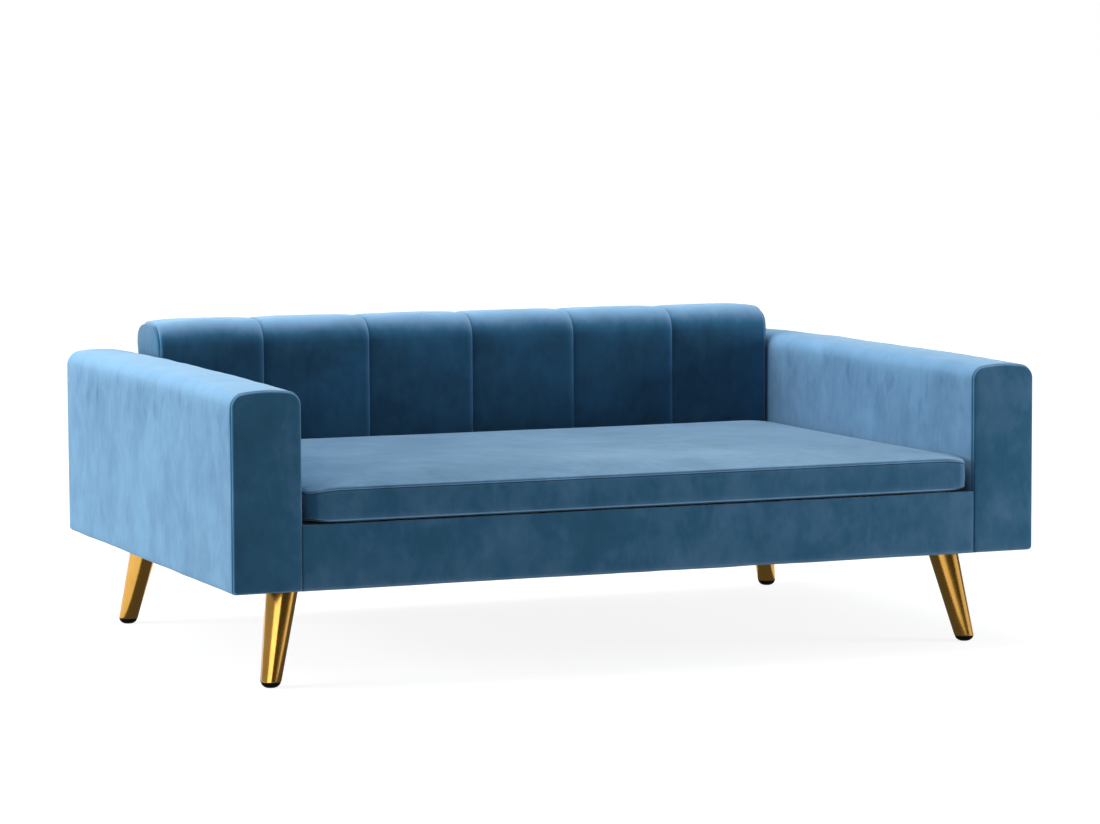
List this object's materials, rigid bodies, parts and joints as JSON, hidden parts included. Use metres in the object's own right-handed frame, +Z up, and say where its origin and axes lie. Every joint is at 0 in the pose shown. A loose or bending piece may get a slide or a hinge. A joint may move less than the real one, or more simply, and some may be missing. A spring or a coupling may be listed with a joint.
{
  "type": "dog sofa bed",
  "caption": "Low blue velvet sofa bed for a dog: box seat between two high arms, channelled back, loose mattress cushion and splayed tapered gold legs.",
  "frame": {"origin": "on the floor, below the middle of the sofa", "axes": "+X to the right along the seat as seen from the front, +Y from the front to the rear, +Z up"},
  "size_m": [1, 0.69, 0.3813],
  "materials": {
    "blue_velvet": "matte",
    "foam": "matte",
    "black_lining": "matte",
    "frame_wood": "matte",
    "hardboard": "matte",
    "gold_metal": "polished",
    "zinc_steel": "satin",
    "glide_plastic": "satin",
    "zip_nylon": "matte",
    "zip_metal": "satin"
  },
  "bodies": {
    "sofa": {"back_bottom_rail": "frame_wood", "back_cover": "blue_velvet", "back_foam": "foam", "back_front_board": "hardboard", "back_left_end_panel": "blue_velvet", "back_left_post": "frame_wood", "back_rear_board": "hardboard", "back_right_end_panel": "blue_velvet", "back_right_post": "frame_wood", "back_top_rail": "frame_wood", "base_centre_brace": "frame_wood", "base_front_rail": "frame_wood", "base_left_rail": "frame_wood", "base_rear_rail": "frame_wood", "base_right_rail": "frame_wood", "deck_board": "frame_wood", "deck_cloth": "black_lining", "dust_cover": "black_lining", "frame_screws": "zinc_steel", "front_left_glide": "glide_plastic", "front_left_leg": "gold_metal", "front_left_leg_block": "frame_wood", "front_rail_cover": "blue_velvet", "front_rail_foam": "foam", "front_right_glide": "glide_plastic", "front_right_leg": "gold_metal", "front_right_leg_block": "frame_wood", "left_arm_bottom_rail": "frame_wood", "left_arm_cover": "blue_velvet", "left_arm_foam": "foam", "left_arm_front_facing": "blue_velvet", "left_arm_front_post": "frame_wood", "left_arm_inner_board": "hardboard", "left_arm_outer_board": "hardboard", "left_arm_rear_facing": "blue_velvet", "left_arm_rear_post": "frame_wood", "left_arm_top_rail": "frame_wood", "leg_plate_screws": "zinc_steel", "leg_plates": "zinc_steel", "rear_left_glide": "glide_plastic", "rear_left_leg": "gold_metal", "rear_left_leg_block": "frame_wood", "rear_right_glide": "glide_plastic", "rear_right_leg": "gold_metal", "rear_right_leg_block": "frame_wood", "right_arm_bottom_rail": "frame_wood", "right_arm_cover": "blue_velvet", "right_arm_foam": "foam", "right_arm_front_facing": "blue_velvet", "right_arm_front_post": "frame_wood", "right_arm_inner_board": "hardboard", "right_arm_outer_board": "hardboard", "right_arm_rear_facing": "blue_velvet", "right_arm_rear_post": "frame_wood", "right_arm_top_rail": "frame_wood"},
    "cushion": {"cushion_core": "foam", "cushion_cover": "blue_velvet", "zip_tape": "zip_nylon"},
    "zip_slider": {"zip_slider": "zip_metal"}
  },
  "joints": [
    {"name": "cushion_lift", "type": "slide", "parent": "sofa", "child": "cushion", "axis": [0, 0, 1], "range_m": [0, 0.25]},
    {"name": "zip_travel", "type": "slide", "parent": "cushion", "child": "zip_slider", "axis": [-1, 0, 0], "range_m": [0, 0.612]}
  ]
}
